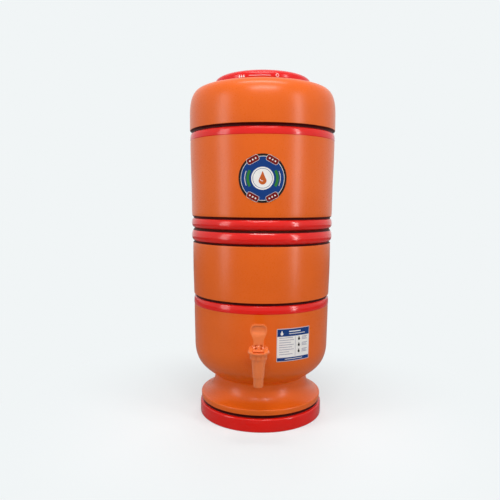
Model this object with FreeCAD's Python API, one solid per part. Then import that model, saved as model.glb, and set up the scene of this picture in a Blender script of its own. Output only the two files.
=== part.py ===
import FreeCAD, Part
import math
import os

# Gravity water filter: two stacked clay vessels, a lid, two filter candles and a push tap.
# Millimetres. Origin at the centre of the foot's resting plane, +Z up, tap towards -Y.

V = FreeCAD.Vector

# Fits and clearances
BODY_GAP = 0.3
RUN_FIT = 0.05
NEST_GAP = 1.3
HOLE_GAP = 0.7

# Clay walls
CLAY_WALL = 8.7
FLOOR_T = 11.0

# Pedestal foot
FOOT_R = 101.4
FOOT_RING_H = 20.6
FOOT_EDGE = 2.4
FOOT_T = 14.0
FOOT_SEAM_H = 5.0
FOOT_SEAM_R = 97.4
LIP_R = 99.9
LIP_H = 9.4
LIP_ROUND = 4.6
NECK_R = 76.6
NECK_Z = 66.0

# Lower vessel
BOWL_R = 110.6
BOWL_TOP_Z = 122.0
LOWER_WALL_R = 112.8
BAND_DEPTH = 1.5
LOWER_BAND_Z = 200.3
LOWER_BAND_GROOVE = 4.2
SPLIT_Z = 309.5
RIM_R = 115.2
RIM_H = 19.0
RIM_SINK = 3.9

# Upper vessel
UPPER_WALL_R = 116.2
UPPER_BAND_Z = 465.0
UPPER_BAND_GROOVE = 5.4
SHOULDER_R = 117.9
SHOULDER_Z = 488.0
SHOULDER_IN_R = 94.0
SHOULDER_IN_Z = 532.5
SEAT_R = 77.6
SEAT_Z = 537.0
MOUTH_R = 68.0
SPIGOT_DEPTH = 9.5

# Lid
LID_R = 76.9
LID_EDGE_H = 4.6
LID_SHOULDER_R = 57.0
LID_SHOULDER_RISE = 9.5
LID_DOME_RISE = 2.4
LID_WALL = 2.6
PLUG_DEPTH = 8.0
PLUG_GAP = 1.4

# Filter candles
CANDLE_X = 45.0
CANDLE_R = 26.0
CANDLE_H = 92.0
CANDLE_DOME_H = 7.0
CANDLE_WALL = 7.0
CANDLE_BASE_R = 28.0
CANDLE_BASE_H = 12.0
CANDLE_STEM_R = 4.8
CANDLE_BORE_R = 2.0
CANDLE_STEM_OUT = 9.0
GASKET_T = 3.0
GASKET_R = 14.0
CANDLE_NUT_AF = 20.0
CANDLE_NUT_H = 8.0

# Tap: place and body
TAP_REACH = 35.4
TAP_FLAT_DEPTH = 0.7
SHANK_Z = 117.0
SHANK_R = 6.3
SHANK_BORE_R = 3.4
SHANK_NECK_R = 7.5
TAP_FLANGE_R = 11.0
TAP_FLANGE_T = 3.0
WASHER_T = 2.5
TAP_NUT_AF = 20.0
TAP_NUT_H = 8.0
SHANK_OUT = 5.0
SPOUT_END_Z = 88.7
SPOUT_R = 7.25
SPOUT_BORE_R = 5.2
STEP_Z = 101.6
STEP_R = 8.2
BARREL_TOP_Z = 130.3
BARREL_TOP_R = 10.4
CHAMBER_R = 6.9
VALVE_SEAT_Z = 109.0
NECK_THREAD_R = 9.0
NECK_THREAD_H = 5.7

# Tap: bonnet
BONNET_SKIRT_R = 12.75
BONNET_SKIRT_H = 7.2
BONNET_FLANGE_R = 15.6
BONNET_FLANGE_T = 4.2
BONNET_DOME_H = 6.6
BONNET_CROWN_R = 9.0
DECK_T = 4.0
SLOT_GAP = 0.55
FLUTE_COUNT = 12
FLUTE_R = 1.1

# Tap: lever, cam and stem
PIN_RISE = 5.4
PIN_R = 1.5
LIFT = 3.2
LEVER_TILT_DEG = 38.0
LEG_T = 1.7
WINDOW_W = 11.3
WINDOW_H = 4.5
LEVER_T = 4.2
LEVER_TOP = 33.9
PADDLE_R = 12.15
PADDLE_MID = 25.8
PADDLE_CROWN = 5.6
WAIST_TOP = 8.0
SCOOP_RIM = 1.9
SCOOP_DEPTH = 1.7
SCOOP_R = 17.0
HEEL_FRONT = 8.3
HUMP_TOP = 1.7
STEM_R = 3.3
STEM_HEAD = 3.6
ROD_R = 2.4
COLLAR_R = 5.6
COLLAR_T = 1.5
CUP_R = 6.0
CUP_T = 3.2
CUP_HUB_R = 4.0
CUP_HUB_H = 4.0
SPRING_OUT_R = 5.1
SPRING_WIRE = 0.8

# Derived places
TAP_WALL_R = BOWL_R - 0.45
TAP_Y = -(TAP_WALL_R + TAP_REACH - TAP_FLAT_DEPTH)
OUT_FLAT_Y = -(TAP_WALL_R - TAP_FLAT_DEPTH)
IN_FLAT_Y = OUT_FLAT_Y + CLAY_WALL - TAP_FLAT_DEPTH
DECK_Z = BARREL_TOP_Z + NECK_THREAD_H + DECK_T + 0.2
PIN_Z = DECK_Z + PIN_RISE
CAM_DROP = PIN_RISE - BODY_GAP
CAM_RISE = LIFT / math.radians(LEVER_TILT_DEG)
FLOOR_Z = SPLIT_Z - SPIGOT_DEPTH
LOWER_IN_R = BOWL_R - CLAY_WALL
SPIGOT_R = LOWER_IN_R - NEST_GAP
UPPER_IN_R = UPPER_WALL_R - CLAY_WALL - 1.5
WINDOW_X = WINDOW_W / 2
FORK_X = WINDOW_X + LEG_T


def line(a, b):
    return Part.makeLine(V(a[0], 0, a[1]), V(b[0], 0, b[1]))


def turned(edges, at=(0, 0)):
    """Revolves a closed radius and height profile round the vertical through at."""
    face = Part.Face(Part.Wire(Part.__sortEdges__(edges)))
    solid = face.revolve(V(0, 0, 0), V(0, 0, 1), 360)
    solid.translate(V(at[0], at[1], 0))
    return solid


def profile(points):
    """A closed run of edges through radius and height points, leaving out a repeated end."""
    ends = points[1:] + points[:1]
    return [line(a, b) for a, b in zip(points, ends) if a != b]


def rod(radius, z0, z1, at=(0, 0)):
    return Part.makeCylinder(radius, z1 - z0, V(at[0], at[1], z0))


def ring(outer, inner, z0, z1, at=(0, 0)):
    return rod(outer, z0, z1, at).cut(rod(inner, z0, z1, at))


def rod_y(radius, y0, y1, z):
    return Part.makeCylinder(radius, y1 - y0, V(0, y0, z), V(0, 1, 0))


def hex_prism(across, height):
    """A hexagonal prism on the XY plane, centred on Z."""
    r = across / math.sqrt(3)
    pts = [V(r * math.cos(math.pi * k / 3), r * math.sin(math.pi * k / 3), 0) for k in range(7)]
    return Part.Face(Part.makePolygon(pts)).extrude(V(0, 0, height))


def sweep(a, b, c, d, steps):
    """Points along the cubic between a and d with poles b and c, without a itself."""
    points = []
    for k in range(1, steps + 1):
        t = k / steps
        u = 1 - t
        w = (u * u * u, 3 * u * u * t, 3 * u * t * t, t * t * t)
        points.append(tuple(w[0] * a[i] + w[1] * b[i] + w[2] * c[i] + w[3] * d[i] for i in (0, 1)))
    return points


def band_groove(z, height, r_low, r_high):
    """The V groove above a painted band, with the wall's radius below and above it."""
    return [(r_low, z - height / 2), (r_low - BAND_DEPTH, z), (r_high, z + height / 2)]


# Lower vessel: foot ring, skirt lip, cavetto, bowl, wall, painted band groove and rim
def lower_vessel():
    seam_low = FOOT_RING_H + 1.4
    lip_low = FOOT_RING_H + FOOT_SEAM_H + 1.2
    lip_top = FOOT_RING_H + FOOT_SEAM_H + LIP_H
    rim_low = SPLIT_Z - RIM_H
    rim_in_r = RIM_R - RIM_SINK
    top = SPLIT_Z - BODY_GAP / 2
    foot_in = FOOT_R - FOOT_T
    neck_in = NECK_R - CLAY_WALL - 1.5
    floor_low = NECK_Z - 4.0
    floor_top = floor_low + FLOOR_T
    lip_in = (LIP_R - LIP_ROUND, lip_top)
    neck = (NECK_R, NECK_Z)
    bowl_top = (BOWL_R, BOWL_TOP_Z)
    pts = [(foot_in, 0), (FOOT_R - FOOT_EDGE, 0), (FOOT_R, FOOT_EDGE), (FOOT_R, FOOT_RING_H)]
    pts += [(FOOT_SEAM_R, seam_low), (LIP_R, lip_low), (LIP_R, lip_top - LIP_ROUND), lip_in]
    pts += sweep(lip_in, (NECK_R, lip_top + 12.0), (NECK_R, NECK_Z), neck, 3)
    pts += sweep(neck, (NECK_R + 20.1, NECK_Z + 14.4), (BOWL_R, BOWL_TOP_Z - 32.0), bowl_top, 4)
    pts += band_groove(LOWER_BAND_Z, LOWER_BAND_GROOVE, BOWL_R, LOWER_WALL_R)
    pts += [(LOWER_WALL_R, rim_low - 2.0), (rim_in_r, rim_low), (RIM_R, rim_low + 5.4)]
    pts += [(RIM_R, top - 6.0), (rim_in_r - 1.0, top), (LOWER_IN_R, top)]
    pts += [(LOWER_IN_R, BOWL_TOP_Z - 18.0), (LOWER_IN_R - 13.2, BOWL_TOP_Z - 36.0)]
    pts += [(neck_in + 2.0, floor_top), (0, floor_top), (0, floor_low), (neck_in, floor_low)]
    pts += [(neck_in, lip_top), (foot_in, FOOT_RING_H), (foot_in, 0)]
    clay = turned(profile(pts))
    # Tap hole with a flat spot on each side for the washers
    spot = TAP_FLANGE_R + 0.6
    clay = clay.cut(rod_y(spot, OUT_FLAT_Y - 6.0, OUT_FLAT_Y, SHANK_Z))
    clay = clay.cut(rod_y(spot, IN_FLAT_Y, IN_FLAT_Y + 8.0, SHANK_Z))
    return clay.cut(rod_y(SHANK_R + HOLE_GAP, OUT_FLAT_Y - 1.0, IN_FLAT_Y + 1.0, SHANK_Z))


# Upper vessel: floor with spigot, rim, wall, band groove, round shoulder and mouth
def upper_vessel():
    rim_in_r = RIM_R - RIM_SINK
    low = SPLIT_Z + BODY_GAP / 2
    rim_high = SPLIT_Z + RIM_H
    floor_top = FLOOR_Z + FLOOR_T
    wall_end = (SHOULDER_R, SHOULDER_Z)
    shoulder = (SHOULDER_IN_R, SHOULDER_IN_Z)
    under = SHOULDER_IN_Z - CLAY_WALL - 2.0
    pts = [(0, FLOOR_Z), (SPIGOT_R, FLOOR_Z), (SPIGOT_R, low), (rim_in_r - 1.0, low)]
    pts += [(RIM_R, low + 6.0), (RIM_R, rim_high - 5.4), (rim_in_r + 1.6, rim_high)]
    pts += [(UPPER_WALL_R, rim_high + 4.0)]
    pts += band_groove(UPPER_BAND_Z, UPPER_BAND_GROOVE, UPPER_WALL_R, SHOULDER_R)
    pts += [wall_end]
    pts += sweep(wall_end, (SHOULDER_R, SHOULDER_Z + 26.0), (SHOULDER_R - 4.4, SHOULDER_IN_Z - 1.5),
                 shoulder, 4)
    pts += [(SEAT_R, SEAT_Z), (MOUTH_R, SEAT_Z), (MOUTH_R, under), (SHOULDER_IN_R - 2.0, under)]
    pts += [(UPPER_IN_R, SHOULDER_Z + 6.0), (UPPER_IN_R, floor_top), (0, floor_top), (0, FLOOR_Z)]
    clay = turned(profile(pts))
    for side in (-1, 1):
        at = (side * CANDLE_X, 0)
        clay = clay.cut(rod(CANDLE_STEM_R + HOLE_GAP, FLOOR_Z - 1.0, floor_top + 1.0, at))
    return clay


# Lid: moulded shell with a rounded edge, a low dome and a plug ring that drops into the mouth
def lid():
    low = SEAT_Z + BODY_GAP
    edge_z = SEAT_Z + LID_EDGE_H
    top_z = edge_z + LID_SHOULDER_RISE
    dome_z = top_z + LID_DOME_RISE
    plug_r = MOUTH_R - PLUG_GAP
    plug_in = plug_r - LID_WALL
    skirt_in = LID_R - LID_WALL
    edge = (LID_R, edge_z)
    shoulder = (LID_SHOULDER_R, top_z)
    reach = LID_R - LID_SHOULDER_R
    pts = [(plug_r, low - PLUG_DEPTH), (plug_r, edge_z), (skirt_in, edge_z), (skirt_in, low)]
    pts += [(LID_R, low), edge]
    pts += sweep(edge, (LID_R, edge_z + LID_SHOULDER_RISE * 0.55),
                 (LID_R - reach * 0.45, top_z - 0.15), shoulder, 4)
    pts += [(LID_SHOULDER_R * 0.4, dome_z), (0, dome_z)]
    pts += [(0, top_z - LID_WALL), (plug_in, top_z - LID_WALL), (plug_in, low - PLUG_DEPTH)]
    return turned(profile(pts + pts[:1]))


# Filter candles: ceramic shell, base with outlet stem, gasket above the floor and nut below it
def candle_base(side):
    at = (side * CANDLE_X, 0)
    low = FLOOR_Z + FLOOR_T + GASKET_T
    stem_low = FLOOR_Z - CANDLE_NUT_H - CANDLE_STEM_OUT
    base = rod(CANDLE_BASE_R, low, low + CANDLE_BASE_H, at)
    base = base.fuse(rod(CANDLE_STEM_R, stem_low, low + 1.0, at)).removeSplitter()
    return base.cut(rod(CANDLE_BORE_R, stem_low, low + CANDLE_BASE_H, at))


def candle_shell(side):
    low = FLOOR_Z + FLOOR_T + GASKET_T + CANDLE_BASE_H
    top = low + CANDLE_H
    bore = CANDLE_R - CANDLE_WALL
    crown = CANDLE_R - CANDLE_DOME_H
    pts = [(bore, low), (CANDLE_R, low), (CANDLE_R, top - CANDLE_DOME_H), (crown, top), (0, top)]
    pts += [(0, top - CANDLE_WALL), (bore, top - CANDLE_WALL)]
    return turned(profile(pts), (side * CANDLE_X, 0))


def candle_gasket(side):
    low = FLOOR_Z + FLOOR_T
    return ring(GASKET_R, CANDLE_STEM_R, low, low + GASKET_T, (side * CANDLE_X, 0))


def candle_nut(side):
    nut = hex_prism(CANDLE_NUT_AF, CANDLE_NUT_H)
    nut.translate(V(side * CANDLE_X, 0, FLOOR_Z - CANDLE_NUT_H))
    return nut.cut(rod(CANDLE_STEM_R, FLOOR_Z - CANDLE_NUT_H, FLOOR_Z, (side * CANDLE_X, 0)))


# Tap body: tapered barrel with valve chamber and spout, and a shank through the clay wall
def tap_body():
    at = (0, TAP_Y)
    neck_top = BARREL_TOP_Z + NECK_THREAD_H
    pts = [(SPOUT_BORE_R, SPOUT_END_Z), (SPOUT_R - 0.6, SPOUT_END_Z), (SPOUT_R, SPOUT_END_Z + 1.2),
           (SPOUT_R, STEP_Z), (STEP_R, STEP_Z + 0.6), (BARREL_TOP_R, BARREL_TOP_Z),
           (NECK_THREAD_R, BARREL_TOP_Z), (NECK_THREAD_R, neck_top), (CHAMBER_R, neck_top),
           (CHAMBER_R, VALVE_SEAT_Z), (SPOUT_BORE_R, VALVE_SEAT_Z)]
    body = turned(profile(pts), at)
    flange_y = OUT_FLAT_Y - WASHER_T - TAP_FLANGE_T
    shank_end = IN_FLAT_Y + WASHER_T + TAP_NUT_H + SHANK_OUT
    shank = rod_y(SHANK_NECK_R, TAP_Y + 2.0, flange_y + 1.0, SHANK_Z)
    shank = shank.fuse(rod_y(TAP_FLANGE_R, flange_y, flange_y + TAP_FLANGE_T, SHANK_Z))
    shank = shank.fuse(rod_y(SHANK_R, flange_y, shank_end, SHANK_Z))
    shank = shank.cut(rod(CHAMBER_R, VALVE_SEAT_Z - 3.0, neck_top, at))
    body = body.fuse(shank)
    return body.cut(rod_y(SHANK_BORE_R, TAP_Y, shank_end, SHANK_Z)).removeSplitter()


def tap_outer_washer():
    low = OUT_FLAT_Y - WASHER_T
    return rod_y(TAP_FLANGE_R, low, OUT_FLAT_Y, SHANK_Z).cut(rod_y(SHANK_R, low, OUT_FLAT_Y, SHANK_Z))


def tap_inner_washer():
    high = IN_FLAT_Y + WASHER_T
    return rod_y(TAP_FLANGE_R, IN_FLAT_Y, high, SHANK_Z).cut(rod_y(SHANK_R, IN_FLAT_Y, high, SHANK_Z))


def tap_nut():
    low = IN_FLAT_Y + WASHER_T
    nut = hex_prism(TAP_NUT_AF, TAP_NUT_H)
    nut.rotate(V(0, 0, 0), V(1, 0, 0), -90)
    nut.translate(V(0, low, SHANK_Z))
    return nut.cut(rod_y(SHANK_R, low, low + TAP_NUT_H, SHANK_Z))


# Bonnet: fluted skirt, flange and hooded dome with the slot that the lever's fork works in
def tap_bonnet():
    at = (0, TAP_Y)
    low = BARREL_TOP_Z
    ceiling = DECK_Z - DECK_T
    skirt_top = low + BONNET_SKIRT_H
    flange_top = skirt_top + BONNET_FLANGE_T
    dome_top = flange_top + BONNET_DOME_H
    crown = (BONNET_CROWN_R, dome_top)
    rim = (BONNET_FLANGE_R - 1.2, flange_top)
    pts = [(NECK_THREAD_R, low), (BONNET_SKIRT_R, low), (BONNET_SKIRT_R, skirt_top)]
    pts += [(BONNET_FLANGE_R, skirt_top + 1.2), (BONNET_FLANGE_R, flange_top - 1.2), rim]
    pts += [(rim[0] - 1.6, dome_top - 2.0), crown, (0, dome_top), (0, ceiling)]
    pts += [(NECK_THREAD_R, ceiling)]
    bonnet = turned(profile(pts), at)
    # The dome falls away towards the front, and the slot is open there
    slope = Part.makeBox(60, 60, 30, V(-30, -30, 0))
    slope.rotate(V(0, 0, 0), V(1, 0, 0), 24)
    slope.translate(V(0, TAP_Y, flange_top + 3.0))
    above_flange = Part.makeBox(60, 60, 30, V(-30, TAP_Y - 30, flange_top))
    bonnet = bonnet.cut(slope.common(above_flange))
    half = FORK_X + SLOT_GAP
    back = 10.4
    slot = Part.makeBox(2 * half, BONNET_FLANGE_R + 5 + back, 30,
                        V(-half, TAP_Y - BONNET_FLANGE_R - 5, DECK_Z))
    bonnet = bonnet.cut(slot)
    bonnet = bonnet.cut(rod(STEM_R + RUN_FIT, ceiling, DECK_Z, at))
    for k in range(FLUTE_COUNT):
        a = 2 * math.pi * (k + 0.5) / FLUTE_COUNT
        x = (BONNET_SKIRT_R + FLUTE_R * 0.4) * math.cos(a)
        y = TAP_Y + (BONNET_SKIRT_R + FLUTE_R * 0.4) * math.sin(a)
        bonnet = bonnet.cut(rod(FLUTE_R, low, skirt_top - 1.0, (x, y)))
    return bonnet


# Stem with its collar, the rubber seat cup and the return spring
def tap_stem():
    at = (0, TAP_Y)
    cup_low = VALVE_SEAT_Z + BODY_GAP
    collar_low = cup_low + CUP_T + CUP_HUB_H
    collar_top = collar_low + COLLAR_T
    top = PIN_Z + STEM_HEAD
    pts = [(0, cup_low + 1.0), (ROD_R, cup_low + 1.0), (ROD_R, collar_low), (COLLAR_R, collar_low),
           (COLLAR_R, collar_top), (STEM_R, collar_top), (STEM_R, top - 1.0), (STEM_R - 1.0, top),
           (0, top)]
    stem = turned(profile(pts), at)
    hole = Part.makeCylinder(PIN_R + RUN_FIT, 20, V(-10, TAP_Y, PIN_Z), V(1, 0, 0))
    return stem.cut(hole)


def tap_seat_cup():
    low = VALVE_SEAT_Z + BODY_GAP
    pts = [(0, low), (CUP_R - 0.8, low), (CUP_R, low + CUP_T), (CUP_HUB_R, low + CUP_T),
           (CUP_HUB_R, low + CUP_T + CUP_HUB_H), (ROD_R, low + CUP_T + CUP_HUB_H),
           (ROD_R, low + 1.0), (0, low + 1.0)]
    return turned(profile(pts), (0, TAP_Y))


def tap_spring():
    low = VALVE_SEAT_Z + BODY_GAP + CUP_T + CUP_HUB_H + COLLAR_T
    return ring(SPRING_OUT_R, SPRING_OUT_R - SPRING_WIRE, low, DECK_Z - DECK_T, (0, TAP_Y))


# Lever: spoon paddle, waist and fork. The fork's two cams are involutes of a circle whose radius
# is the lift per radian, so that the stem rises in step with the tilt while the cams roll on the deck.
def cam_point(angle):
    reach = CAM_DROP + CAM_RISE * angle
    s = math.sin(angle)
    c = math.cos(angle)
    return V(0, reach * s + CAM_RISE * c, -reach * c + CAM_RISE * s)


def lever_side():
    """The lever seen from the side, as a face in the YZ plane about the pin."""
    half = LEVER_T / 2
    end = math.radians(LEVER_TILT_DEG)
    flat = V(0, CAM_RISE, -CAM_DROP)
    cam = Part.BSplineCurve()
    cam.interpolate([cam_point(end * k / 6) for k in range(7)])
    tip = cam_point(end)
    front_low = V(0, -HEEL_FRONT + 1.2, -CAM_DROP)
    front = V(0, -HEEL_FRONT, -CAM_DROP + 1.2)
    hump = V(0, -HEEL_FRONT + 0.8, -HUMP_TOP)
    shin = V(0, -half, HUMP_TOP)
    shin_mid = V(0, -half - 1.6, -HUMP_TOP * 0.3)
    back = V(0, half, PIN_R + 5.0)
    back_mid = V(0, half + 2.0, PIN_R + 0.6)
    edges = [Part.makeLine(front_low, flat), cam.toShape(), Part.Arc(tip, back_mid, back).toShape(),
             Part.makeLine(back, V(0, half, LEVER_TOP)),
             Part.makeLine(V(0, half, LEVER_TOP), V(0, -half, LEVER_TOP)),
             Part.makeLine(V(0, -half, LEVER_TOP), shin),
             Part.Arc(shin, shin_mid, hump).toShape(), Part.makeLine(hump, front),
             Part.makeLine(front, front_low)]
    return Part.Face(Part.Wire(Part.__sortEdges__(edges)))


def spoon_outline(inset, low):
    """The lever seen from the front, inset all round, from a low height to the crown of the paddle."""
    wide = PADDLE_R - inset
    waist = FORK_X - inset
    top = LEVER_TOP - inset
    crown = PADDLE_CROWN - inset * 0.4
    edges = []
    for s in (-1, 1):
        side = Part.BezierCurve()
        side.setPoles([V(s * waist, 0, WAIST_TOP), V(s * waist, 0, WAIST_TOP + 8.0),
                       V(s * wide, 0, PADDLE_MID - 8.0), V(s * wide, 0, PADDLE_MID)])
        edges.append(side.toShape())
        end = Part.BezierCurve()
        end.setPoles([V(s * wide, 0, PADDLE_MID), V(s * wide, 0, top - 2.6),
                      V(s * (crown + 2.6), 0, top), V(s * crown, 0, top)])
        edges.append(end.toShape())
        if low < WAIST_TOP:
            edges.append(Part.makeLine(V(s * waist, 0, low), V(s * waist, 0, WAIST_TOP)))
    edges.append(Part.makeLine(V(-crown, 0, top), V(crown, 0, top)))
    edges.append(Part.makeLine(V(-waist, 0, low), V(waist, 0, low)))
    return Part.Face(Part.Wire(Part.__sortEdges__(edges)))


def tap_lever():
    half = LEVER_T / 2
    side = lever_side().extrude(V(2 * PADDLE_R + 4, 0, 0))
    side.translate(V(-PADDLE_R - 2, 0, 0))
    front = spoon_outline(0, -CAM_DROP - 1.0).extrude(V(0, 40, 0))
    front.translate(V(0, -20, 0))
    lever = side.common(front)
    # Window between the fork's legs, open behind, with the hump of the front heel left standing
    stem_room = STEM_R + 0.7
    window = Part.makeBox(WINDOW_W, stem_room + 20, CAM_DROP + 1 + WINDOW_H,
                          V(-WINDOW_X, -stem_room, -CAM_DROP - 1))
    above = Part.makeBox(WINDOW_W, 30, HUMP_TOP + WINDOW_H, V(-WINDOW_X, -HEEL_FRONT - 1, -HUMP_TOP))
    lever = lever.cut(window.fuse(above))
    # Thumb scoop, deepest under the crown
    scoop = Part.makeCylinder(SCOOP_R, 40, V(-20, -half - SCOOP_R + SCOOP_DEPTH, PADDLE_MID + 1.0),
                              V(1, 0, 0))
    inner = spoon_outline(SCOOP_RIM, WAIST_TOP).extrude(V(0, 20, 0))
    inner.translate(V(0, -half - 15, 0))
    lever = lever.cut(scoop.common(inner))
    lever = lever.cut(Part.makeCylinder(PIN_R, 40, V(-20, 0, 0), V(1, 0, 0)))
    lever.translate(V(0, TAP_Y, PIN_Z))
    return lever


def tap_lever_pin():
    return Part.makeCylinder(PIN_R, 2 * FORK_X, V(-FORK_X, TAP_Y, PIN_Z), V(1, 0, 0))


PIECES = {
    "lower_vessel": lower_vessel,
    "upper_vessel": upper_vessel,
    "lid": lid,
    "candle_base_left": lambda: candle_base(-1),
    "candle_base_right": lambda: candle_base(1),
    "candle_shell_left": lambda: candle_shell(-1),
    "candle_shell_right": lambda: candle_shell(1),
    "candle_gaskets": lambda: Part.makeCompound([candle_gasket(-1), candle_gasket(1)]),
    "candle_nuts": lambda: Part.makeCompound([candle_nut(-1), candle_nut(1)]),
    "tap_body": tap_body,
    "tap_outer_washer": tap_outer_washer,
    "tap_inner_washer": tap_inner_washer,
    "tap_nut": tap_nut,
    "tap_bonnet": tap_bonnet,
    "tap_stem": tap_stem,
    "tap_seat_cup": tap_seat_cup,
    "tap_spring": tap_spring,
    "tap_lever": tap_lever,
    "tap_lever_pin": tap_lever_pin,
}

os.makedirs("parts", exist_ok=True)
for name, make in PIECES.items():
    shape = make()
    if not shape.isValid() or not shape.Solids:
        raise ValueError(name + " is not a valid solid")
    print(name, len(shape.Solids), "solids", round(shape.Volume / 1000, 2), "cm3")
    shape.exportStep("parts/" + name + ".step")
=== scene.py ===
import math

import bmesh
import bpy
from mathutils import Matrix, Vector


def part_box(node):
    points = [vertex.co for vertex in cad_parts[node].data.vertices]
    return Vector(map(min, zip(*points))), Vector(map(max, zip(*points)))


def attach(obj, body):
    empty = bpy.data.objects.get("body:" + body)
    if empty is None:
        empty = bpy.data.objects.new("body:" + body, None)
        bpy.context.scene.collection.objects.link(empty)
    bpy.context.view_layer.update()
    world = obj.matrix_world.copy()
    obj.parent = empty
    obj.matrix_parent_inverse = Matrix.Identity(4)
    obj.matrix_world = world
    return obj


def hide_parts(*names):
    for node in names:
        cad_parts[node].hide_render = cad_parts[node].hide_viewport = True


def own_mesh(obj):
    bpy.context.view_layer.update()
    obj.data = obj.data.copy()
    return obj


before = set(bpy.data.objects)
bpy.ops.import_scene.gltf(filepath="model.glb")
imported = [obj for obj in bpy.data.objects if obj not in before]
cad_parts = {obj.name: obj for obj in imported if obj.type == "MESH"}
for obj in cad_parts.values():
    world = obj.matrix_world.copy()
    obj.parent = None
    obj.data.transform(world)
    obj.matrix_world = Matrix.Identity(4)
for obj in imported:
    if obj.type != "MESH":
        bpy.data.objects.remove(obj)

bl_info = {
    "name": "Gravity Water Filter",
    "version": (1, 0, 0),
    "blender": (4, 5, 0),
    "location": "3D View > Sidebar > Water Filter",
    "description": "Clay water filter with two vessels, a lid, candles and a push-lever tap",
    "category": "Object",
}

MM = 0.001
TURN = 2 * math.pi
UPRIGHT = Matrix.Rotation(math.pi / 2, 4, "X")  # stands a flat shape up, facing -Y


def linear(code):
    """Turns an sRGB hex code into the linear RGBA that Blender's colours use."""
    out = []
    for k in (0, 2, 4):
        c = int(code[k:k + 2], 16) / 255
        out.append(c / 12.92 if c <= 0.04045 else ((c + 0.055) / 1.055) ** 2.4)
    return (*out, 1.0)


def length(name, description, mm):
    return bpy.props.FloatProperty(name=name, description=description, default=mm * MM,
                                   unit="LENGTH")


def colour(name, description, code):
    return bpy.props.FloatVectorProperty(name=name, description=description,
                                         default=linear(code), subtype="COLOR", size=4,
                                         min=0, max=1)


class VesselSettings(bpy.types.PropertyGroup):
    """Sizes and colours of the two clay vessels"""
    foot_radius: length("Foot radius", "Radius of the painted foot ring", 101.4)
    neck_radius: length("Neck radius", "Narrowest radius of the pedestal", 76.6)
    bowl_radius: length("Bowl radius", "Radius where the bowl meets the wall", 110.3)
    rim_radius: length("Rim radius", "Radius of the two rounded rims at the split", 115.2)
    shoulder_radius: length("Shoulder radius", "Largest radius, under the round shoulder", 117.9)
    seat_height: length("Seat height", "Height of the mouth's flat seat above the floor", 537.0)
    clay_colour: colour("Clay paint", "Satin paint on the clay", "e66514")
    clay_shade: colour("Clay paint, darker", "The darker patches of the same paint", "dc5c0e")
    bare_colour: colour("Bare clay", "Unpainted clay inside the vessels", "c06a3f")
    band_colour: colour("Band enamel", "Glossy enamel of the bands and the foot ring", "e41202")
    # Groove colour: the dark line painted in each groove, darkened further as painted shade for the
    # shade in the grooves
    groove_line_and_shade_colour: colour("Groove enamel", "The same enamel, dark in the grooves", "480402")


class LidSettings(bpy.types.PropertyGroup):
    """Sizes and colours of the lid"""
    radius: length("Lid radius", "Radius of the lid's edge", 76.9)
    rise: length("Lid rise", "Height of the lid above its lower edge", 16.2)
    shell_colour: colour("Lid plastic", "Glossy moulded lid", "de0d08")
    print_colour: colour("Lid print", "Printed marks on the lid's edge", "f2e4e2")


class TapSettings(bpy.types.PropertyGroup):
    """Sizes and colours of the tap"""
    edge_round: length("Edge rounding", "Radius on the tap's moulded edges", 0.35)
    wire: length("Spring wire", "Diameter of the return spring's wire", 0.8)
    turns: bpy.props.IntProperty(name="Spring turns", description="Turns of the return spring",
                                 default=7, min=3, max=12)
    plastic_colour: colour("Tap plastic", "Satin moulded plastic of the tap", "f07d3e")
    silicone_colour: colour("Silicone", "Washers, gaskets and the valve cup", "d2d0ca")


class CandleSettings(bpy.types.PropertyGroup):
    """Sizes and colours of the filter candles"""
    radius: length("Candle radius", "Radius of the ceramic shell", 26.0)
    ceramic_colour: colour("Candle ceramic", "Porous white ceramic", "efece2")
    plastic_colour: colour("Candle plastic", "Bases and nuts", "e9ebec")


class StickerSettings(bpy.types.PropertyGroup):
    """Sizes and colours of the round badge and the label"""
    badge_radius: length("Badge radius", "Outer radius of the round badge", 35.2)
    badge_height: length("Badge height", "Height of the badge's centre above the floor", 386.0)
    label_width: length("Label width", "Width of the label along the wall", 56.8)
    label_height: length("Label height", "Height of the label", 50.6)
    ink_navy: colour("Navy ink", "Badge field and label header", "0b3a7e")
    ink_maroon: colour("Maroon ink", "Tabs on the badge", "7a0f0f")
    ink_black: colour("Black ink", "Ring round the badge", "0e0a08")
    ink_green: colour("Green ink", "Bands on the badge", "2f7a35")
    ink_white: colour("White vinyl", "Panels and marks", "eeeae6")
    ink_clay: colour("Terracotta ink", "Drop on the badge", "c9622c")
    ink_grey: colour("Grey ink", "Lines on the label", "9a93a8")


class StageSettings(bpy.types.PropertyGroup):
    """Floor, light and camera"""
    backdrop_colour: colour("Backdrop", "Pale floor and background", "f1f5f6")
    floor_radius: length("Floor radius", "Radius of the floor", 3000.0)
    camera_height: length("Camera height", "Height of the camera above the floor", 354.15)
    camera_distance: length("Camera distance", "Level distance from the object's axis", 893.4)
    camera_pitch: bpy.props.FloatProperty(name="Camera pitch",
                                          description="How far the camera looks down",
                                          default=math.radians(5.27), subtype="ANGLE")


# Materials


def add(tree, kind, inputs=None, **options):
    """Adds a shader node with its options. Its inputs are values, or sockets to link from."""
    node = tree.nodes.new(kind)
    for key, value in options.items():
        setattr(node, key, value)
    for key, value in (inputs or {}).items():
        if isinstance(value, bpy.types.NodeSocket):
            tree.links.new(value, node.inputs[key])
        else:
            node.inputs[key].default_value = value
    return node


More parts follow.
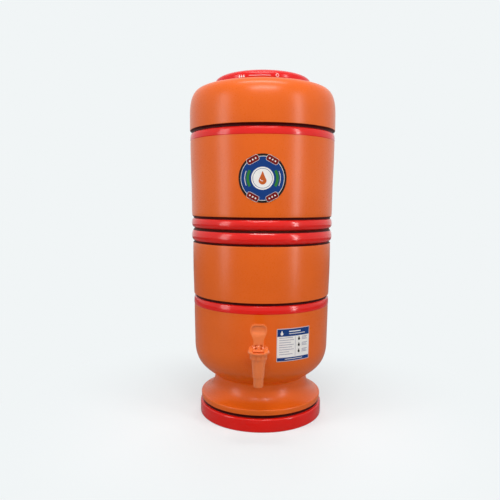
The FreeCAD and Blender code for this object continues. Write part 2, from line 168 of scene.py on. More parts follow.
def finish(name, tint, shade, patch_mm, grain_mm, grain_depth_mm, roughness, spread=0.05,
           ior=1.5, specular=0.5, metallic=0.0):
    """A material of two close tints in soft patches, with a fine grain in its bump and roughness.

    patch_mm and grain_mm are real sizes on the surface, read in Object coordinates."""
    material = bpy.data.materials.get(name)
    if material:
        return material
    material = bpy.data.materials.new(name)
    material.use_nodes = True
    tree = material.node_tree
    tree.nodes.clear()
    where = add(tree, "ShaderNodeTexCoord").outputs["Object"]
    patches = add(tree, "ShaderNodeTexNoise", {
        "Vector": where, "Scale": 1 / (patch_mm * MM), "Detail": 3.0})
    grain = add(tree, "ShaderNodeTexNoise", {
        "Vector": where, "Scale": 1 / (grain_mm * MM), "Detail": 2.0})
    mix = add(tree, "ShaderNodeMix", {0: patches.outputs["Fac"], 6: shade, 7: tint},
              data_type="RGBA")
    rough = add(tree, "ShaderNodeMapRange", {
        "Value": grain.outputs["Fac"], "From Min": 0.3, "From Max": 0.7,
        "To Min": roughness - spread, "To Max": roughness + spread})
    bump = add(tree, "ShaderNodeBump", {
        "Height": grain.outputs["Fac"], "Strength": 1.0, "Distance": grain_depth_mm * MM})
    shader = add(tree, "ShaderNodeBsdfPrincipled", {
        "Base Color": mix.outputs[2], "Roughness": rough.outputs["Result"],
        "Normal": bump.outputs["Normal"], "IOR": ior, "Specular IOR Level": specular,
        "Metallic": metallic})
    add(tree, "ShaderNodeOutputMaterial", {"Surface": shader.outputs["BSDF"]})
    return material


def painted_clay():
    # Terracotta under brushed satin paint: soft broad highlights, faint mottling, a fine open grain
    v = bpy.context.scene.filter_vessels
    return finish("satin_painted_terracotta", v.clay_colour, v.clay_shade, 45, 1.4, 0.03,
                  0.3, 0.04, specular=0.32)


def bare_clay():
    # Fired unpainted terracotta: dull and chalky, with lighter and darker patches from the kiln
    v = bpy.context.scene.filter_vessels
    return finish("bare_fired_terracotta", v.bare_colour, linear("ad5a33"), 30, 1.0, 0.15,
                  0.9, 0.05)


def band_enamel():
    # Oil enamel brushed on thick: clear small highlights on a slightly uneven film
    v = bpy.context.scene.filter_vessels
    return finish("gloss_brushed_enamel", v.band_colour, linear("da0c01"), 30, 2.5, 0.015,
                  0.17, 0.03, specular=0.4)


def groove_line_and_shade_enamel():
    # The same enamel, dark and nearly dull in the grooves: partly the dark line painted in each
    # groove, partly painted shade for the shade that falls there
    v = bpy.context.scene.filter_vessels
    return finish("dark_line_and_painted_shade_enamel", v.groove_line_and_shade_colour, linear("330302"), 20, 2.0, 0.03,
                  0.5, 0.05, specular=0.1)


def lid_plastic():
    # Polypropylene from a polished mould: even colour with clean highlights
    s = bpy.context.scene.filter_lid
    return finish("gloss_moulded_polypropylene", s.shell_colour, linear("d2080b"), 60, 3.0, 0.01,
                  0.2, 0.03, specular=0.35)


def pad_print():
    # Pad-printed ink: a flat thin film, duller than the plastic round it. Its grain is finer than
    # this in life, and is drawn 0.6 mm wide so that it shows
    s = bpy.context.scene.filter_lid
    return finish("pad_printed_ink", s.print_colour, linear("e2cfcc"), 2, 0.6, 0.005, 0.4)


def tap_plastic():
    # ABS from a lightly textured mould: satin sheen with small bright edges. The mould's texture
    # is finer than this in life, and is drawn 0.8 mm wide so that it shows
    s = bpy.context.scene.filter_tap
    return finish("satin_moulded_abs", s.plastic_colour, linear("e97233"), 12, 0.8, 0.012,
                  0.22, 0.04, specular=0.6)


def silicone():
    # Pressed silicone rubber: soft sheen and a slight bloom, drawn 0.5 mm wide so that it shows
    s = bpy.context.scene.filter_tap
    return finish("pressed_silicone", s.silicone_colour, linear("c5c3bc"), 4, 0.5, 0.01,
                  0.55, 0.05, ior=1.41)


def candle_ceramic():
    # Slip-cast diatomite: fine-pored and chalky, its pores drawn 0.6 mm wide so that they show
    s = bpy.context.scene.filter_candles
    return finish("porous_cast_ceramic", s.ceramic_colour, linear("e2dccc"), 14, 0.6, 0.06,
                  0.92, 0.04)


def white_plastic():
    # White polypropylene from a plain mould: soft even sheen. The mould's texture is finer than
    # this in life, and is drawn 0.8 mm wide so that it shows
    s = bpy.context.scene.filter_candles
    return finish("white_moulded_polypropylene", s.plastic_colour, linear("dcdfe1"), 10, 0.8,
                  0.01, 0.4, 0.05)


def spring_wire():
    # Drawn stainless wire: bright metal with faint streaks from the die, drawn 0.3 mm wide so
    # that they show
    return finish("drawn_stainless_wire", linear("c9c9cb"), linear("b4b4b8"), 2, 0.3, 0.004,
                  0.28, 0.05, metallic=1.0)


def vinyl(name, tint, shade):
    # Printed self-adhesive vinyl under a satin overlay film: even ink with a soft sheen. The
    # film's grain is finer than this in life, and is drawn 0.8 mm wide so that it shows
    return finish(name, tint, linear(shade), 8, 0.8, 0.006, 0.34, 0.04, specular=0.2)


# Shaping


def sweep(a, b, c, d, steps, finish_index):
    """Rows of an outline along the cubic from a to d, whose handles are b and c; a is left out."""
    rows = []
    for k in range(1, steps + 1):
        t = k / steps
        u = 1 - t
        w = (u ** 3, 3 * u * u * t, 3 * u * t * t, t ** 3)
        point = (w[0] * a[i] + w[1] * b[i] + w[2] * c[i] + w[3] * d[i] for i in (0, 1))
        rows.append((*point, 0, finish_index))
    return rows


def softened(rows):
    """Rounds each corner of an outline whose row has a rounding in mm, with a short curve."""
    done = []
    for k, (r, z, rounding, finish_index) in enumerate(rows):
        if not rounding or k in (0, len(rows) - 1):
            done.append((r, z, finish_index))
            continue
        here = Vector((r, z))
        back = Vector(rows[k - 1][:2]) - here
        ahead = Vector(rows[k + 1][:2]) - here
        start = here + back.normalized() * min(rounding, back.length * 0.45)
        end = here + ahead.normalized() * min(rounding, ahead.length * 0.45)
        for t in (0, 0.25, 0.5, 0.75, 1):
            point = start * (1 - t) ** 2 + here * 2 * t * (1 - t) + end * t * t
            done.append((*point, finish_index if t < 0.6 else rows[k + 1][3]))
    return done


def place(name, bm, materials, sharp=35):
    """Makes the bmesh an object in the scene, smooth but for edges sharper than the given angle."""
    mesh = bpy.data.meshes.new(name)
    bm.to_mesh(mesh)
    bm.free()
    for material in materials:
        mesh.materials.append(material)
    mesh.shade_smooth()
    mesh.set_sharp_from_angle(angle=math.radians(sharp))
    piece = bpy.data.objects.new(name, mesh)
    bpy.context.scene.collection.objects.link(piece)
    return piece


def turned(rows, steps=144):
    """Spins an outline once round the upright axis. A row is a radius, height and corner
    rounding in mm, and the index of the material on the run that ends there."""
    bm = bmesh.new()
    order = bm.verts.layers.int.new("row")
    outline = softened(rows)
    points = []
    for k, (r, z, _) in enumerate(outline):
        points.append(bm.verts.new((r * MM, 0, z * MM)))
        points[-1][order] = k
    runs = [bm.edges.new(pair) for pair in zip(points, points[1:])]
    bmesh.ops.spin(bm, geom=points + runs, cent=(0, 0, 0), axis=(0, 0, 1), dvec=(0, 0, 0),
                   angle=TURN, steps=steps, use_merge=True, use_duplicate=False)
    for face in bm.faces:
        face.material_index = outline[max(v[order] for v in face.verts)][2]
    bmesh.ops.remove_doubles(bm, verts=bm.verts, dist=1e-6)
    bmesh.ops.recalc_face_normals(bm, faces=bm.faces)
    return bm


def belongs(piece, body, slot, *nodes):
    """Ties a piece to its body and hides the CAD nodes it stands for. The slot argument is not
    used.
    """
    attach(piece, body)
    if nodes:
        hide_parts(*nodes)
    return piece


def wrapped(parts, radius_at, angle, height, strip_mm=3.0):
    """Lays flat shapes on a round wall. Each part is a function that fills a bmesh with a flat
    shape in mm, x along the wall and z up, then its lift off the wall in mm and its material's
    index. The shapes are cut into strips first, so that they can bend."""
    whole = bmesh.new()
    for shape, lift, index in parts:
        bm = bmesh.new()
        shape(bm)
        for way, size in ((Vector((1, 0, 0)), strip_mm), (Vector((0, 0, 1)), 2 * strip_mm)):
            cuts = int(max(abs(v.co.dot(way)) for v in bm.verts) / size)
            for k in range(-cuts, cuts + 1):
                bmesh.ops.bisect_plane(bm, geom=bm.verts[:] + bm.edges[:] + bm.faces[:],
                                       dist=1e-5, plane_co=way * k * size, plane_no=way)
        for v in bm.verts:
            z = height + v.co.z
            r = radius_at(z) + lift
            turn = angle + v.co.x / radius_at(height)
            v.co = Vector((r * math.sin(turn), -r * math.cos(turn), z)) * MM
        for face in bm.faces:
            face.material_index = index
        part = bpy.data.meshes.new("part")
        bm.to_mesh(part)
        bm.free()
        whole.from_mesh(part)
        bpy.data.meshes.remove(part)
    for face in whole.faces:
        middle = face.calc_center_median()
        if face.normal.dot(Vector((middle.x, middle.y, 0))) < 0:
            face.normal_flip()
    return whole


def upper_wall(z):
    """Radius of the upper vessel's wall, which widens more above the badge's middle."""
    return 115.2 + (z - 335) * 0.5 / 43 if z < 378 else 115.6 + (z - 378) * 1.3 / 42


def lower_wall(z):
    """Radius of the lower vessel's wall, which widens evenly above the bowl."""
    return 110.3 + max(0.0, z - 122) * 0.0222


def disc(radius, x=0.0, z=0.0, segments=64):
    """A flat disc centred on x and z."""
    def fill(bm):
        bmesh.ops.create_circle(bm, cap_ends=True, segments=segments, radius=radius,
                                matrix=Matrix.Translation((x, 0, z)) @ UPRIGHT)
    return fill


def ring(inner, outer, segments=96, start=0.0, turn=TURN):
    """A flat ring, or a part of one, spun from a short radial edge."""
    def fill(bm):
        ends = [bm.verts.new((r * math.cos(start), 0, r * math.sin(start)))
                for r in (inner, outer)]
        edge = bm.edges.new(ends)
        bmesh.ops.spin(bm, geom=ends + [edge], cent=(0, 0, 0), axis=(0, -1, 0), dvec=(0, 0, 0),
                       angle=turn, steps=segments, use_merge=turn == TURN, use_duplicate=False)
    return fill


def panel(width, tall, x=0.0, z=0.0, corner=0.0, turn=0.0):
    """A flat rectangle with rounded corners, centred on x and z."""
    def fill(bm):
        seat = Matrix.Translation((x, 0, z)) @ Matrix.Rotation(turn, 4, "Y")
        seat = seat @ UPRIGHT @ Matrix.Diagonal((width / 2, tall / 2, 1, 1))
        bmesh.ops.create_grid(bm, x_segments=1, y_segments=1, size=1, matrix=seat)
        if corner:
            bmesh.ops.bevel(bm, geom=bm.verts[:], offset=corner, offset_type="OFFSET", segments=5,
                            profile=0.5, affect="VERTICES", material=-1)
    return fill


def drop(tall, x=0.0, z=0.0):
    """A water drop: a disc whose upper verts are drawn up to a point."""
    def fill(bm):
        radius = tall * 0.3
        low = z - tall / 2 + radius
        bmesh.ops.create_circle(bm, cap_ends=True, segments=40, radius=radius,
                                matrix=Matrix.Translation((x, 0, low)) @ UPRIGHT)
        for v in bm.verts:
            rise = (v.co.z - low) / radius
            if rise > 0:
                v.co.x = x + (v.co.x - x) * (1 - rise * rise * 0.55)
                v.co.z = low + radius * rise * (1 + 1.33 * rise * rise)
    return fill


def moulded(node, name, rounding, material):
    """A copy of a CAD node with its triangles merged and its edges rounded as a moulding's are."""
    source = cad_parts[node]
    bm = bmesh.new()
    bm.from_mesh(source.data)
    bmesh.ops.transform(bm, matrix=source.matrix_world, verts=bm.verts)
    bmesh.ops.remove_doubles(bm, verts=bm.verts, dist=2e-6)
    bmesh.ops.dissolve_limit(bm, angle_limit=math.radians(0.6), verts=bm.verts,
                             edges=bm.edges)
    for face in bm.faces:
        face.material_index = 0
    corner = 28  # degrees: sharper edges than this are rounded, flatter ones are curves
    piece = place(name, bm, [material], sharp=corner)
    edges = piece.modifiers.new("Edge rounding", "BEVEL")
    edges.width = rounding
    edges.segments = 2
    edges.limit_method = "ANGLE"
    edges.angle_limit = math.radians(corner)
    edges.use_clamp_overlap = True
    return piece


# Operators, one for each piece or group of like pieces


class FILTER_OT_lower_vessel(bpy.types.Operator):
    """Makes the lower vessel with its pedestal, bands and rim"""
    bl_idname = "water_filter.lower_vessel"
    bl_label = "Lower Vessel"

    def execute(self, context):
        v = context.scene.filter_vessels
        foot = v.foot_radius / MM
        neck = v.neck_radius / MM
        bowl = v.bowl_radius / MM
        rim = v.rim_radius / MM
        inner = bowl - 8.1
        split = 309.3
        paint, enamel, groove, bare = range(4)
        # Hollow under the pedestal, then the painted foot ring and the groove above it
        rows = [(0, 62, 0, bare), (neck - 10, 62, 3, bare), (neck - 10, 35, 4, bare)]
        rows += [(foot - 14, 20, 4, bare), (foot - 14, 0, 0.8, bare)]
        rows += [(foot, 0, 2.0, enamel), (foot, 20.6, 2.2, enamel), (foot - 4.0, 21.2, 0.8, enamel)]
        rows += [(foot - 4.4, 24.4, 0.8, groove), (foot - 1.9, 26.4, 1.2, groove)]
        # Pedestal up to the neck, and the bowl above it
        rows += [(foot - 1.5, 35.2, 2.6, paint), (foot - 5.2, 35.5, 0.8, paint)]
        rows += sweep((foot - 5.2, 35.5), (neck + 1.5, 43), (neck, 56), (neck, 66), 14, paint)
        rows += sweep((neck, 67.3), (neck + 20.1, 80.4), (bowl, 90), (bowl, 122), 22, paint)
        rows += [(bowl + 0.6, 149, 0, paint), (bowl + 1.0, 170, 0, paint)]
        rows += [(bowl + 1.0, 185.7, 0.3, paint)]
        # Single band with its groove
        rows += [(bowl + 1.5, 186.6, 0.8, enamel), (bowl + 1.5, 191.5, 2.0, enamel)]
        rows += [(bowl + 0.6, 197.2, 1.0, enamel), (bowl - 1.2, 198.0, 0.4, enamel)]
        rows += [(bowl - 1.2, 200.4, 0.4, groove), (bowl + 1.5, 202.2, 1.0, groove)]
        # Wall, then the lower half of the double band up to the split
        rows += [(bowl + 1.7, 206, 0, paint), (bowl + 2.7, 240, 0, paint)]
        rows += [(bowl + 3.0, 280, 0, paint)]
        rows += [(bowl + 2.8, 286.6, 0.8, paint), (bowl + 0.7, 288.0, 0.5, groove)]
        rows += [(bowl + 1.1, 289.6, 0.4, groove)]
        rows += sweep((bowl + 1.1, 289.6), (rim + 0.6, 290.8), (rim + 1.6, 300.0),
                      (rim - 2.2, 306.4), 10, enamel)
        # Inside, down the wall to the floor
        rows += [(rim - 4.2, split, 0.6, groove), (inner, split, 1.2, bare), (inner, 104, 0, bare)]
        rows += [(inner - 13, 86, 6, bare), (neck - 8, 73, 4, bare), (0, 73, 0, bare)]
        finishes = [painted_clay(), band_enamel(), groove_line_and_shade_enamel(), bare_clay()]
        piece = place("lower_vessel_clay", turned(rows), finishes, sharp=50)
        belongs(piece, "base", "clay", "lower_vessel")
        return {"FINISHED"}


class FILTER_OT_upper_vessel(bpy.types.Operator):
    """Makes the upper vessel with its bands, round shoulder and mouth"""
    bl_idname = "water_filter.upper_vessel"
    bl_label = "Upper Vessel"

    def execute(self, context):
        v = context.scene.filter_vessels
        rim = v.rim_radius / MM
        top = v.shoulder_radius / MM
        seat = v.seat_height / MM
        mouth = 68
        spigot = 100.7
        inner = 105.5
        split = 309.7
        paint, enamel, groove, bare = range(4)
        # Underside and the spigot that nests in the lower vessel
        rows = [(0, 300.2, 0, bare), (spigot, 300.2, 2.0, bare), (spigot, split, 0.6, bare)]
        # Upper half of the double band, with the groove above it
        rows += [(rim - 4.2, split, 0.6, groove), (rim - 4.2, 310.4, 0, groove)]
        rows += sweep((rim - 4.2, 310.4), (rim + 0.4, 311.8), (rim + 1.6, 318.5),
                      (rim - 1.4, 324.8), 10, enamel)
        rows += [(rim - 3.0, 325.4, 0.5, enamel), (rim - 3.0, 327.2, 0.5, groove)]
        rows += [(rim - 0.6, 329.4, 1.0, groove)]
        # Wall
        rows += [(rim - 0.1, 335, 0, paint), (rim + 0.4, 378, 0, paint), (rim + 1.7, 420, 0, paint)]
        rows += [(rim + 2.0, 440, 0, paint), (rim + 1.9, 448.9, 0.3, paint)]
        # Single band with its groove
        rows += [(rim + 2.3, 449.8, 0.8, enamel), (rim + 2.3, 454.6, 2.0, enamel)]
        rows += [(rim + 1.2, 459.6, 1.0, enamel), (rim - 0.9, 460.6, 0.6, enamel)]
        rows += [(rim - 0.9, 463.2, 0.6, groove), (top, 465.2, 1.2, groove)]
        # Round shoulder up to the mouth's flat seat
        rows += [(top, 488, 0, paint)]
        rows += sweep((top, 488), (top, 514), (top - 4.4, 531), (94, 532.5), 20, paint)
        rows += [(82, 535.6, 1.0, paint), (78.5, seat - 0.2, 0.8, paint)]
        rows += [(mouth, seat - 0.2, 1.2, paint)]
        # Inside, down the wall to the floor
        rows += [(mouth, 521.8, 3.0, bare), (92, 521.8, 8, bare), (inner, 495, 8, bare)]
        rows += [(inner, 311.2, 4, bare), (0, 311.2, 0, bare)]
        finishes = [painted_clay(), band_enamel(), groove_line_and_shade_enamel(), bare_clay()]
        piece = place("upper_vessel_clay", turned(rows), finishes, sharp=50)
        belongs(piece, "upper", "clay", "upper_vessel")
        return {"FINISHED"}


class FILTER_OT_lid(bpy.types.Operator):
    """Makes the domed lid and the small print on its edge"""
    bl_idname = "water_filter.lid"
    bl_label = "Lid"

    def execute(self, context):
        s = context.scene.filter_lid
        r = s.radius / MM
        low = 537.3
        edge = 541.6
        top = low + s.rise / MM
        ceiling = top - 4.8
        plug, plug_inside, plug_low = 66.6, 63.9, low - 8
        # Inside and the plug ring, then the upright edge and the dome
        rows = [(0, ceiling, 0, 0), (plug_inside, ceiling, 2, 0), (plug_inside, plug_low, 0.6, 0)]
        rows += [(plug, plug_low, 1.0, 0), (plug, 541.4, 1.0, 0), (r - 2.6, 541.0, 1.0, 0)]
        rows += [(r - 2.6, low, 0.4, 0), (r, low, 0.7, 0), (r, edge, 0, 0)]
        rows += sweep((r, edge), (r, 546.8), (r - 8.8, 550.9), (r - 20, 551.2), 14, 0)
        rows += sweep((r - 20, 551.2), (r - 40, 552.6), (20, top), (0, top), 12, 0)
        piece = place("lid_shell", turned(rows), [lid_plastic()])
        belongs(piece, "cover", "lid_plastic", "lid")
        # Three drops, a line and a ring on the front of the edge
        film, over = 0.12, 0.2
        ink, plastic = range(2)
        marks = [(drop(4.4, x, 0), film, ink) for x in (-34.6, -31, -27.4)]
        marks += [(panel(33, 0.6, -3, 0, 0.2), film, ink), (disc(2.6, 23.6, 0.4), film, ink)]
        marks += [(disc(1.7, 23.6, 0.4), over, plastic)]
        print_bm = wrapped(marks, lambda z: r, 0.0, 539.6)
        marking = place("lid_print", print_bm, [pad_print(), lid_plastic()])
        belongs(marking, "cover", "lid_plastic")
        return {"FINISHED"}


class FILTER_OT_tap(bpy.types.Operator):
    """Makes the tap's mouldings with rounded edges, and its return spring"""
    bl_idname = "water_filter.tap"
    bl_label = "Tap"

    def execute(self, context):
        s = context.scene.filter_tap
        plastic = tap_plastic()
        for node, body in (("tap_body", "base"), ("tap_bonnet", "base"), ("tap_stem", "stem"),
                           ("tap_lever", "lever")):
            piece = moulded(node, node + "_moulding", s.edge_round, plastic)
            belongs(piece, body, "tap_plastic", node)
        for node in ("tap_nut", "tap_lever_pin"):
            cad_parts[node].material_slots[0].material = plastic
        for node in ("tap_outer_washer", "tap_inner_washer", "tap_seat_cup"):
            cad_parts[node].material_slots[0].material = silicone()
        low, high = (Vector(corner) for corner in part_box("tap_spring"))
        centre = (low + high) / 2
        radius = (high.x - low.x) / 2 - s.wire / 2
        rise = high.z - low.z - s.wire
        bm = bmesh.new()
        circle = bmesh.ops.create_circle(bm, cap_ends=False, segments=10, radius=s.wire / 2,
                                         matrix=Matrix.Translation((radius, 0, 0)) @ UPRIGHT)
        steps = 32 * s.turns
        loop = circle["verts"] + bm.edges[:]
        bmesh.ops.spin(bm, geom=loop, cent=(0, 0, 0), axis=(0, 0, 1), dvec=(0, 0, rise / steps),
                       angle=TURN * s.turns, steps=steps, use_merge=False, use_duplicate=False)
        bmesh.ops.holes_fill(bm, edges=bm.edges, sides=12)
        bmesh.ops.recalc_face_normals(bm, faces=bm.faces)
        bmesh.ops.translate(bm, verts=bm.verts, vec=(centre.x, centre.y, low.z + s.wire / 2))
        coil = place("tap_spring_coil", bm, [spring_wire()])
        belongs(coil, "base", "spring_steel", "tap_spring")
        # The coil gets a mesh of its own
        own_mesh(coil)
        return {"FINISHED"}


class FILTER_OT_candles(bpy.types.Operator):
    """Finishes the filter candles, their bases, gaskets and nuts"""
    bl_idname = "water_filter.candles"
    bl_label = "Candles"

    def execute(self, context):
        width = context.scene.filter_candles.radius / MM
        dome = 12
        for side in ("left", "right"):
            node = "candle_shell_" + side
            low, high = (Vector(corner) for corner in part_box(node))
            tall = (high.z - low.z) / MM
            rows = [(0, 0.0, 0, 0), (width, 0.0, 0.8, 0), (width, tall - dome, 0, 0)]
            rows += sweep((width, tall - dome), (width, tall - dome / 3), (width * 0.62, tall),
                          (0, tall), 12, 0)
            bm = turned(rows, steps=64)
            across, along = (low.x + high.x) / 2, (low.y + high.y) / 2
            bmesh.ops.translate(bm, verts=bm.verts, vec=(across, along, low.z))
            piece = place(node + "_ceramic", bm, [candle_ceramic()])
            belongs(piece, "upper", "candle_ceramic", node)
            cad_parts["candle_base_" + side].material_slots[0].material = white_plastic()
        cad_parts["candle_gaskets"].material_slots[0].material = silicone()
        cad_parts["candle_nuts"].material_slots[0].material = white_plastic()
        return {"FINISHED"}


class FILTER_OT_badge(bpy.types.Operator):
    """Lays the round badge on the upper vessel's wall"""
    bl_idname = "water_filter.badge"
    bl_label = "Badge"

    def execute(self, context):
        s = context.scene.filter_stickers
        r = s.badge_radius / MM
        inks = [vinyl("black_printed_vinyl", s.ink_black, "231a16"),
                vinyl("white_printed_vinyl", s.ink_white, "e4dfdb"),
                vinyl("navy_printed_vinyl", s.ink_navy, "0c3270"),
                vinyl("maroon_printed_vinyl", s.ink_maroon, "691010"),
                vinyl("green_printed_vinyl", s.ink_green, "286a2d"),
                vinyl("terracotta_printed_vinyl", s.ink_clay, "b5521f")]
        black, white, navy, maroon, green, clay = range(6)
        # Each layer of ink lies a little further off the wall than the one under it
        layers = [0.25, 0.32, 0.39, 0.46, 0.53, 0.6]
        parts = [(disc(r, segments=96), layers[0], black),
                 (disc(r - 3.3, segments=96), layers[1], white),
                 (disc(r - 4.0, segments=96), layers[2], navy)]
        for start in (-32, 148):
            band = ring(19.5, 23.5, 20, math.radians(start), math.radians(64))
            parts.append((band, layers[3], green))
        for start in (-24, 156):
            line = ring(25.4, 26.2, 20, math.radians(start), math.radians(48))
            parts.append((line, layers[3], white))
        # Medallion with a water drop
        parts += [(disc(16.4, segments=64), layers[3], white)]
        parts += [(ring(13.8, 14.4, 64), layers[4], navy), (drop(19, 0, 0.6), layers[4], clay)]
        gleam = ring(3.2, 4.2, 12, math.radians(200), math.radians(80))
        parts.append((gleam, layers[5], white))
        # Four tabs with three dots each
        for quarter in (62, 118, 242, 298):
            a = math.radians(quarter)
            x, z = 30.0 * math.cos(a), 30.0 * math.sin(a)
            lean = math.pi / 2 - a
            parts.append((panel(18.8, 9.4, x, z, 3.0, lean), layers[3], white))
            parts.append((panel(18.0, 8.6, x, z, 2.7, lean), layers[4], maroon))
            for k in (-1, 0, 1):
                dx, dz = k * 4.6 * math.sin(a), -k * 4.6 * math.cos(a)
                parts.append((disc(1.15, x + dx, z + dz, 20), layers[5], white))
        bm = wrapped(parts, upper_wall, math.radians(1.6), s.badge_height / MM)
        piece = place("round_badge", bm, inks)
        belongs(piece, "upper", "clay")
        return {"FINISHED"}


class FILTER_OT_label(bpy.types.Operator):
    """Lays the rectangular label on the lower vessel's wall"""
    bl_idname = "water_filter.label"
    bl_label = "Label"

    def execute(self, context):
        s = context.scene.filter_stickers
        w = s.label_width / MM
        h = s.label_height / MM
        inks = [vinyl("pale_pink_printed_vinyl", linear("d9c6c4"), "cdb8b6"),
                vinyl("white_printed_vinyl", s.ink_white, "e4dfdb"),
                vinyl("navy_printed_vinyl", s.ink_navy, "0c3270"),
                vinyl("grey_printed_vinyl", s.ink_grey, "8c859c"),
                vinyl("black_printed_vinyl", s.ink_black, "231a16")]
        edge, white, navy, grey, black = range(5)
        layers = [0.25, 0.32, 0.39, 0.46]
        head, foot = h * 0.22, h * 0.1
        head_z = h / 2 - 1 - head / 2
        foot_z = -h / 2 + 1 + foot / 2
        parts = [(panel(w, h, 0, 0, 1.2), layers[0], edge)]
        parts += [(panel(w - 2.0, h - 2.0, 0, 0, 0.8), layers[1], white)]
        parts += [(panel(w - 2.0, head, 0, head_z), layers[2], navy)]
        parts += [(panel(w - 2.0, foot, 0, foot_z), layers[2], navy)]
        parts += [(drop(7.4, -w / 2 + 8, head_z), layers[3], white)]
        parts += [(panel(20, 1.5, 1, head_z + 1.8, 0.5), layers[3], white)]
        parts += [(panel(28, 0.9, 5, head_z - 1.8, 0.3), layers[3], white)]
        parts += [(panel(30, 0.8, 0, foot_z), layers[3], white)]
        # A column of lines, a rule, and a column of drops with short lines
        for k, wide in enumerate((22, 24, 19, 24, 21, 24, 16, 22)):
            line = panel(wide, 0.8, -w / 2 + 4 + wide / 2, 11.0 - k * 3.6)
            parts.append((line, layers[2], grey))
        parts.append((panel(0.5, h * 0.6, 2.0, -h * 0.06), layers[2], grey))
        for k in range(3):
            z = 9.0 - k * 9.6
            parts.append((drop(6.4, 8.4, z), layers[2], black))
            for wide, x, up in ((10.5, 19.0, 1.8), (8.5, 18.0, -0.2), (10.0, 18.8, -2.2)):
                parts.append((panel(wide, 0.9, x, z + up), layers[2], grey))
        bm = wrapped(parts, lower_wall, math.radians(28.2), 138.7)
        piece = place("front_label", bm, inks)
        belongs(piece, "base", "clay")
        return {"FINISHED"}


# Name, degrees round from the front, height, distance, width and tallness in m, power in W, and
# whether it shows in reflections
SOFTBOXES = (
    ("softbox_back", 178, 1.2, 1.8, 1.2, 1.0, 13.0, False),
    ("softbox_right", 55, 0.4, 1.5, 0.16, 1.6, 10.0, True),
    ("softbox_left", -58, 0.4, 1.5, 0.4, 1.6, 9.5, True),
    ("softbox_front", 4, 1.5, 1.15, 0.9, 0.12, 10.5, True),
    ("softbox_top", 0, 1.7, 0.35, 1.0, 0.14, 8.0, True),
)


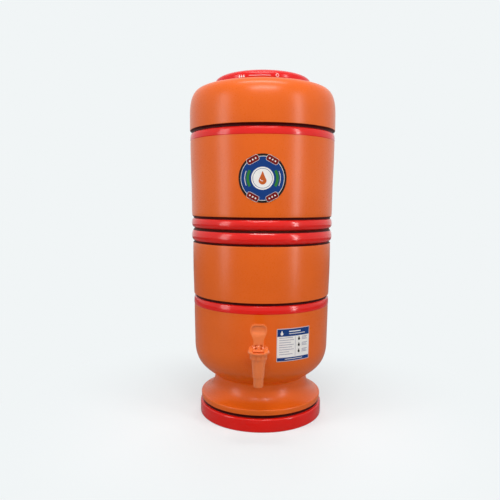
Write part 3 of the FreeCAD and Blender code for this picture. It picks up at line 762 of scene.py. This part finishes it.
class FILTER_OT_stage(bpy.types.Operator):
    """Makes the pale floor, the background, the soft lamps and the camera"""
    bl_idname = "water_filter.stage"
    bl_label = "Stage"

    def execute(self, context):
        s = context.scene.filter_stage
        pale = tuple(s.backdrop_colour)
        bm = bmesh.new()
        bmesh.ops.create_circle(bm, cap_ends=True, segments=96, radius=s.floor_radius)
        material = bpy.data.materials.new("matt_studio_paper")
        material.use_nodes = True
        tree = material.node_tree
        tree.nodes.clear()
        # Near the object the paper shows its shadows at about half strength, and from 0.45 m out
        # it is the plain background
        where = add(tree, "ShaderNodeTexCoord").outputs["Object"]
        away = add(tree, "ShaderNodeVectorMath", {0: where}, operation="LENGTH")
        fade = add(tree, "ShaderNodeMapRange", {
            "Value": away.outputs["Value"], "From Min": 0.12, "From Max": 0.45, "To Min": 0.45,
            "To Max": 1.0}, interpolation_type="SMOOTHSTEP")
        light = add(tree, "ShaderNodeLightPath")
        seen = light.outputs["Is Camera Ray"]
        share = add(tree, "ShaderNodeMath", {0: fade.outputs["Result"], 1: seen},
                    operation="MULTIPLY")
        # The paper throws back less light than it shows, as a small sheet on a darker table would
        sheet = add(tree, "ShaderNodeMix", {0: seen, 6: linear("a9aeaf"), 7: pale},
                    data_type="RGBA")
        lit = add(tree, "ShaderNodeBsdfDiffuse", {"Color": sheet.outputs[2]})
        plain = add(tree, "ShaderNodeEmission", {"Color": pale, "Strength": 1.0})
        mix = add(tree, "ShaderNodeMixShader", {
            0: share.outputs[0], 1: lit.outputs[0], 2: plain.outputs[0]})
        add(tree, "ShaderNodeOutputMaterial", {"Surface": mix.outputs[0]})
        place("studio_floor", bm, [material])

        world = bpy.data.worlds.new("studio_surround")
        world.use_nodes = True
        tree = world.node_tree
        tree.nodes.clear()
        # Seen, reflected or refracted it is the pale background, and as light it is weaker
        light = add(tree, "ShaderNodeLightPath")
        clear = add(tree, "ShaderNodeMath", {
            0: light.outputs["Is Camera Ray"], 1: light.outputs["Is Transmission Ray"]},
            operation="MAXIMUM")
        both = add(tree, "ShaderNodeMath", {
            0: clear.outputs[0], 1: light.outputs["Is Glossy Ray"]}, operation="MAXIMUM")
        soft = add(tree, "ShaderNodeBackground", {"Color": pale, "Strength": 0.3})
        bright = add(tree, "ShaderNodeBackground", {"Color": pale, "Strength": 1.0})
        mix = add(tree, "ShaderNodeMixShader", {
            0: both.outputs[0], 1: soft.outputs[0], 2: bright.outputs[0]})
        add(tree, "ShaderNodeOutputWorld", {"Surface": mix.outputs[0]})
        context.scene.world = world

        middle = Vector((0, 0, 0.3))
        for name, azimuth, height, distance, wide, tall, power, reflected in SOFTBOXES:
            a = math.radians(azimuth)
            spot = Vector((distance * math.sin(a), -distance * math.cos(a), height))
            lamp = bpy.data.lights.new(name, "AREA")
            lamp.shape = "RECTANGLE"
            lamp.size = wide
            lamp.size_y = tall
            lamp.energy = power
            holder = bpy.data.objects.new(name, lamp)
            holder.location = spot
            holder.rotation_euler = (middle - spot).to_track_quat("-Z", "Y").to_euler()
            holder.visible_camera = False
            holder.visible_glossy = reflected
            context.scene.collection.objects.link(holder)

        view = bpy.data.cameras.new("photo_camera")
        view.lens = 38.65
        view.sensor_width = 36.0
        view.clip_end = 50
        holder = bpy.data.objects.new("photo_camera", view)
        a, yaw, roll = math.radians(1.2), math.radians(2.427), math.radians(0.33)
        away = s.camera_distance
        spot = Matrix.Translation((away * math.sin(a), -away * math.cos(a), s.camera_height))
        holder.matrix_world = (spot @ Matrix.Rotation(yaw, 4, "Z")
                               @ Matrix.Rotation(math.pi / 2 - s.camera_pitch, 4, "X")
                               @ Matrix.Rotation(roll, 4, "Z"))
        context.scene.collection.objects.link(holder)
        context.scene.camera = holder
        context.scene.view_settings.view_transform = "Standard"
        return {"FINISHED"}


class FILTER_PT_panel(bpy.types.Panel):
    """Lists the filter's pieces with their settings"""
    bl_label = "Gravity Water Filter"
    bl_idname = "FILTER_PT_panel"
    bl_space_type = "VIEW_3D"
    bl_region_type = "UI"
    bl_category = "Water Filter"

    def draw(self, context):
        for operator in OPERATORS:
            self.layout.operator(operator.bl_idname)
        for key in GROUPS:
            box = self.layout.box()
            group = getattr(context.scene, key)
            box.label(text=GROUPS[key].__doc__)
            for name in GROUPS[key].__annotations__:
                box.prop(group, name)


GROUPS = {
    "filter_vessels": VesselSettings, "filter_lid": LidSettings, "filter_tap": TapSettings,
    "filter_candles": CandleSettings, "filter_stickers": StickerSettings,
    "filter_stage": StageSettings,
}
OPERATORS = (FILTER_OT_lower_vessel, FILTER_OT_upper_vessel, FILTER_OT_lid, FILTER_OT_tap,
             FILTER_OT_candles, FILTER_OT_badge, FILTER_OT_label, FILTER_OT_stage)


def register():
    for key, group in GROUPS.items():
        bpy.utils.register_class(group)
        setattr(bpy.types.Scene, key, bpy.props.PointerProperty(type=group))
    for operator in OPERATORS:
        bpy.utils.register_class(operator)
    bpy.utils.register_class(FILTER_PT_panel)


def unregister():
    bpy.utils.unregister_class(FILTER_PT_panel)
    for operator in reversed(OPERATORS):
        bpy.utils.unregister_class(operator)
    for key, group in GROUPS.items():
        delattr(bpy.types.Scene, key)
        bpy.utils.unregister_class(group)


def plain(bounds):
    return [[float(n) for n in corner] for corner in bounds]


def main():
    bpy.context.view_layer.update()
    register()
    for operator in OPERATORS:
        group, name = operator.bl_idname.split(".")
        getattr(getattr(bpy.ops, group), name)()


if __name__ == "__main__":
    main()
